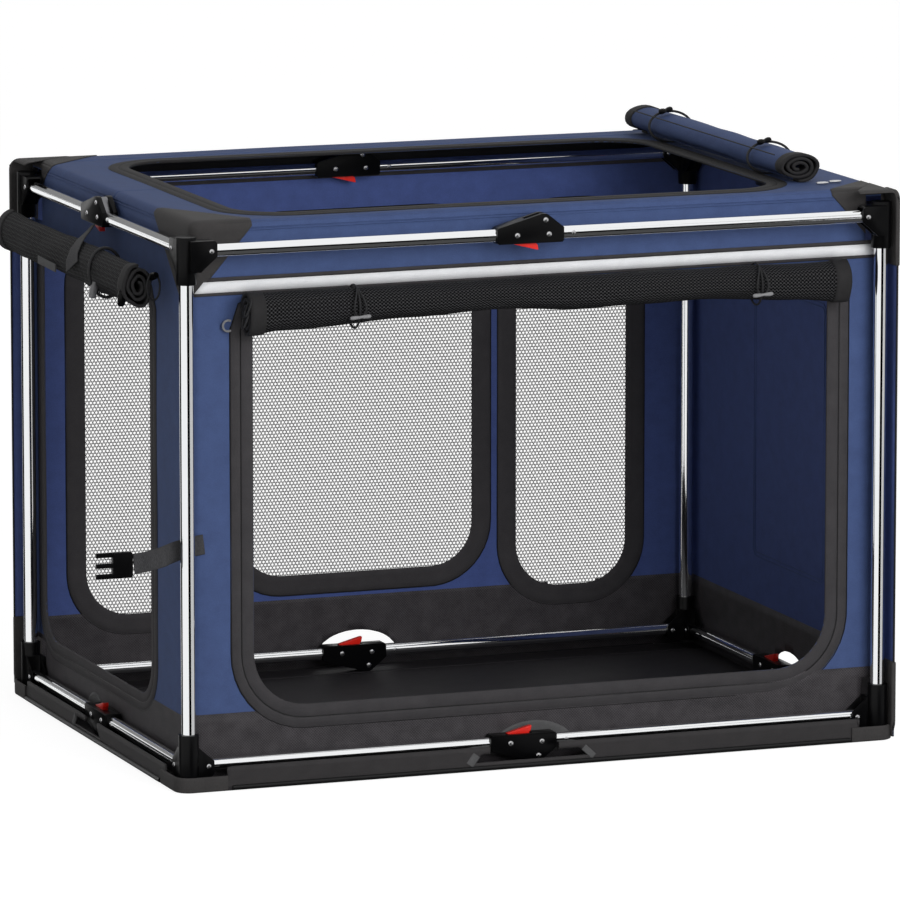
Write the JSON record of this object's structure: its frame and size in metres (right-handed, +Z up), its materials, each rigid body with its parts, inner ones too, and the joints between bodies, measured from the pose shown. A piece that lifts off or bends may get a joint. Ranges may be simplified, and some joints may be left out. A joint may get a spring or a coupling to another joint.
{
  "type": "soft folding dog crate",
  "caption": "Box-shaped soft pet crate: fabric cover on a folding tube frame with locking rails, rolled mesh doors and an open roof flap.",
  "frame": {"origin": "middle of the four posts, on the underside of the base", "axes": "+X to the right along the front, +Y to the back, +Z up"},
  "size_m": [1.0041, 0.6627, 0.706],
  "materials": {
    "chrome_tube": "polished",
    "black_plastic": "glossy",
    "red_plastic": "satin",
    "navy_fabric": "woven",
    "grey_fabric": "woven",
    "black_net": "open mesh",
    "black_webbing": "webbing"
  },
  "bodies": {
    "front_left": {"post_front_left": "chrome_tube", "connector_top_front_left": "black_plastic", "connector_bottom_front_left": "black_plastic", "wall_front": "navy_fabric", "roll_front": "black_net", "strap": "black_webbing", "buckle": "black_plastic"},
    "front_right": {"post_front_right": "chrome_tube", "connector_top_front_right": "black_plastic", "connector_bottom_front_right": "black_plastic"},
    "rear_left": {"post_rear_left": "chrome_tube", "connector_top_rear_left": "black_plastic", "connector_bottom_rear_left": "black_plastic", "wall_rear": "navy_fabric", "net_rear_left": "black_net", "net_rear_middle": "black_net", "net_rear_right": "black_net", "wall_left": "navy_fabric", "roof": "navy_fabric", "base": "grey_fabric", "roll_left": "black_net"},
    "rear_right": {"post_rear_right": "chrome_tube", "connector_top_rear_right": "black_plastic", "connector_bottom_rear_right": "black_plastic", "wall_right": "navy_fabric", "roll_roof": "navy_fabric"},
    "rail_top_rear_left": {"rail_top_rear_left": "chrome_tube", "lock_top_rear": "black_plastic"},
    "rail_top_rear_right": {"rail_top_rear_right": "chrome_tube"},
    "lever_top_rear": {"lever_top_rear": "red_plastic"},
    "rail_bottom_rear_left": {"rail_bottom_rear_left": "chrome_tube", "lock_bottom_rear": "black_plastic"},
    "rail_bottom_rear_right": {"rail_bottom_rear_right": "chrome_tube"},
    "lever_bottom_rear": {"lever_bottom_rear": "red_plastic"},
    "rail_top_front_left": {"rail_top_front_left": "chrome_tube", "lock_top_front": "black_plastic"},
    "rail_top_front_right": {"rail_top_front_right": "chrome_tube"},
    "lever_top_front": {"lever_top_front": "red_plastic"},
    "rail_bottom_front_left": {"rail_bottom_front_left": "chrome_tube", "lock_bottom_front": "black_plastic"},
    "rail_bottom_front_right": {"rail_bottom_front_right": "chrome_tube"},
    "lever_bottom_front": {"lever_bottom_front": "red_plastic"},
    "rail_top_left_rear": {"rail_top_left_rear": "chrome_tube", "lock_top_left": "black_plastic"},
    "rail_top_left_front": {"rail_top_left_front": "chrome_tube"},
    "lever_top_left": {"lever_top_left": "red_plastic"},
    "rail_bottom_left_rear": {"rail_bottom_left_rear": "chrome_tube", "lock_bottom_left": "black_plastic"},
    "rail_bottom_left_front": {"rail_bottom_left_front": "chrome_tube"},
    "lever_bottom_left": {"lever_bottom_left": "red_plastic"},
    "rail_top_right_rear": {"rail_top_right_rear": "chrome_tube", "lock_top_right": "black_plastic"},
    "rail_top_right_front": {"rail_top_right_front": "chrome_tube"},
    "lever_top_right": {"lever_top_right": "red_plastic"},
    "rail_bottom_right_rear": {"rail_bottom_right_rear": "chrome_tube", "lock_bottom_right": "black_plastic"},
    "rail_bottom_right_front": {"rail_bottom_right_front": "chrome_tube"},
    "lever_bottom_right": {"lever_bottom_right": "red_plastic"}
  },
  "joints": [
    {"name": "fold_width", "type": "hinge", "parent": "rear_left", "child": "rail_top_rear_left", "pos_m": [-0.415, 0.31785, 0.642], "axis": [0, 1, 0], "range_deg": [0, 87], "deforming": ["wall_rear", "net_rear_left", "net_rear_middle", "net_rear_right", "wall_front", "roll_front", "roof", "base"]},
    {"name": "top_rear_middle", "type": "hinge", "parent": "rail_top_rear_left", "child": "rail_top_rear_right", "pos_m": [0, 0.31785, 0.659], "axis": [0, 1, 0], "range_deg": [-174, 0]},
    {"name": "top_rear_far_corner", "type": "hinge", "parent": "rail_top_rear_right", "child": "rear_right", "pos_m": [0.415, 0.31785, 0.642], "axis": [0, 1, 0], "range_deg": [0, 87]},
    {"name": "top_rear_release", "type": "hinge", "parent": "rail_top_rear_left", "child": "lever_top_rear", "pos_m": [-0.0365, 0.31785, 0.63135], "axis": [0, -1, 0], "range_deg": [0, 6], "stiffness_Nm_per_rad": 0.03},
    {"name": "bottom_rear_corner", "type": "hinge", "parent": "rear_left", "child": "rail_bottom_rear_left", "pos_m": [-0.415, 0.29765, 0.028], "axis": [0, 1, 0], "range_deg": [-87, 0]},
    {"name": "bottom_rear_middle", "type": "hinge", "parent": "rail_bottom_rear_left", "child": "rail_bottom_rear_right", "pos_m": [0, 0.29765, 0.011], "axis": [0, 1, 0], "range_deg": [0, 174]},
    {"name": "bottom_rear_release", "type": "hinge", "parent": "rail_bottom_rear_left", "child": "lever_bottom_rear", "pos_m": [-0.0365, 0.29765, 0.03865], "axis": [0, 1, 0], "range_deg": [0, 6], "stiffness_Nm_per_rad": 0.03},
    {"name": "top_front_corner", "type": "hinge", "parent": "front_left", "child": "rail_top_front_left", "pos_m": [-0.415, -0.31785, 0.642], "axis": [0, 1, 0], "range_deg": [0, 87]},
    {"name": "top_front_middle", "type": "hinge", "parent": "rail_top_front_left", "child": "rail_top_front_right", "pos_m": [0, -0.31785, 0.659], "axis": [0, 1, 0], "range_deg": [-174, 0]},
    {"name": "top_front_far_corner", "type": "hinge", "parent": "rail_top_front_right", "child": "front_right", "pos_m": [0.415, -0.31785, 0.642], "axis": [0, 1, 0], "range_deg": [0, 87]},
    {"name": "top_front_release", "type": "hinge", "parent": "rail_top_front_left", "child": "lever_top_front", "pos_m": [-0.0365, -0.31785, 0.63135], "axis": [0, -1, 0], "range_deg": [0, 6], "stiffness_Nm_per_rad": 0.03},
    {"name": "bottom_front_corner", "type": "hinge", "parent": "front_left", "child": "rail_bottom_front_left", "pos_m": [-0.415, -0.29765, 0.028], "axis": [0, 1, 0], "range_deg": [-87, 0]},
    {"name": "bottom_front_middle", "type": "hinge", "parent": "rail_bottom_front_left", "child": "rail_bottom_front_right", "pos_m": [0, -0.29765, 0.011], "axis": [0, 1, 0], "range_deg": [0, 174]},
    {"name": "bottom_front_release", "type": "hinge", "parent": "rail_bottom_front_left", "child": "lever_bottom_front", "pos_m": [-0.0365, -0.29765, 0.03865], "axis": [0, 1, 0], "range_deg": [0, 6], "stiffness_Nm_per_rad": 0.03},
    {"name": "fold_depth", "type": "hinge", "parent": "rear_left", "child": "rail_top_left_rear", "pos_m": [-0.44, 0.28275, 0.642], "axis": [1, 0, 0], "range_deg": [0, 87], "deforming": ["wall_left", "wall_right", "roll_left", "roll_roof", "roof", "base"]},
    {"name": "top_left_middle", "type": "hinge", "parent": "rail_top_left_rear", "child": "rail_top_left_front", "pos_m": [-0.44, 0, 0.659], "axis": [1, 0, 0], "range_deg": [-174, 0]},
    {"name": "top_left_far_corner", "type": "hinge", "parent": "rail_top_left_front", "child": "front_left", "pos_m": [-0.44, -0.28275, 0.642], "axis": [1, 0, 0], "range_deg": [0, 87]},
    {"name": "top_left_release", "type": "hinge", "parent": "rail_top_left_rear", "child": "lever_top_left", "pos_m": [-0.44, 0.0365, 0.63135], "axis": [-1, 0, 0], "range_deg": [0, 6], "stiffness_Nm_per_rad": 0.03},
    {"name": "bottom_left_corner", "type": "hinge", "parent": "rear_left", "child": "rail_bottom_left_rear", "pos_m": [-0.44, 0.28275, 0.028], "axis": [1, 0, 0], "range_deg": [-87, 0]},
    {"name": "bottom_left_middle", "type": "hinge", "parent": "rail_bottom_left_rear", "child": "rail_bottom_left_front", "pos_m": [-0.44, 0, 0.011], "axis": [1, 0, 0], "range_deg": [0, 174]},
    {"name": "bottom_left_release", "type": "hinge", "parent": "rail_bottom_left_rear", "child": "lever_bottom_left", "pos_m": [-0.44, 0.0365, 0.03865], "axis": [1, 0, 0], "range_deg": [0, 6], "stiffness_Nm_per_rad": 0.03},
    {"name": "top_right_corner", "type": "hinge", "parent": "rear_right", "child": "rail_top_right_rear", "pos_m": [0.44, 0.28275, 0.642], "axis": [1, 0, 0], "range_deg": [0, 87]},
    {"name": "top_right_middle", "type": "hinge", "parent": "rail_top_right_rear", "child": "rail_top_right_front", "pos_m": [0.44, 0, 0.659], "axis": [1, 0, 0], "range_deg": [-174, 0]},
    {"name": "top_right_release", "type": "hinge", "parent": "rail_top_right_rear", "child": "lever_top_right", "pos_m": [0.44, 0.0365, 0.63135], "axis": [-1, 0, 0], "range_deg": [0, 6], "stiffness_Nm_per_rad": 0.03},
    {"name": "bottom_right_corner", "type": "hinge", "parent": "rear_right", "child": "rail_bottom_right_rear", "pos_m": [0.44, 0.28275, 0.028], "axis": [1, 0, 0], "range_deg": [-87, 0]},
    {"name": "bottom_right_middle", "type": "hinge", "parent": "rail_bottom_right_rear", "child": "rail_bottom_right_front", "pos_m": [0.44, 0, 0.011], "axis": [1, 0, 0], "range_deg": [0, 174]},
    {"name": "bottom_right_release", "type": "hinge", "parent": "rail_bottom_right_rear", "child": "lever_bottom_right", "pos_m": [0.44, 0.0365, 0.03865], "axis": [1, 0, 0], "range_deg": [0, 6], "stiffness_Nm_per_rad": 0.03}
  ],
  "couplings": [
    {"joint": "top_rear_middle", "follows": "fold_width", "ratio": -2},
    {"joint": "top_rear_far_corner", "follows": "fold_width", "ratio": 1},
    {"joint": "bottom_rear_corner", "follows": "fold_width", "ratio": -1},
    {"joint": "bottom_rear_middle", "follows": "fold_width", "ratio": 2},
    {"joint": "top_front_corner", "follows": "fold_width", "ratio": 1},
    {"joint": "top_front_middle", "follows": "fold_width", "ratio": -2},
    {"joint": "top_front_far_corner", "follows": "fold_width", "ratio": 1},
    {"joint": "bottom_front_corner", "follows": "fold_width", "ratio": -1},
    {"joint": "bottom_front_middle", "follows": "fold_width", "ratio": 2},
    {"joint": "top_left_middle", "follows": "fold_depth", "ratio": -2},
    {"joint": "top_left_far_corner", "follows": "fold_depth", "ratio": 1},
    {"joint": "bottom_left_corner", "follows": "fold_depth", "ratio": -1},
    {"joint": "bottom_left_middle", "follows": "fold_depth", "ratio": 2},
    {"joint": "top_right_corner", "follows": "fold_depth", "ratio": 1},
    {"joint": "top_right_middle", "follows": "fold_depth", "ratio": -2},
    {"joint": "bottom_right_corner", "follows": "fold_depth", "ratio": -1},
    {"joint": "bottom_right_middle", "follows": "fold_depth", "ratio": 2}
  ]
}
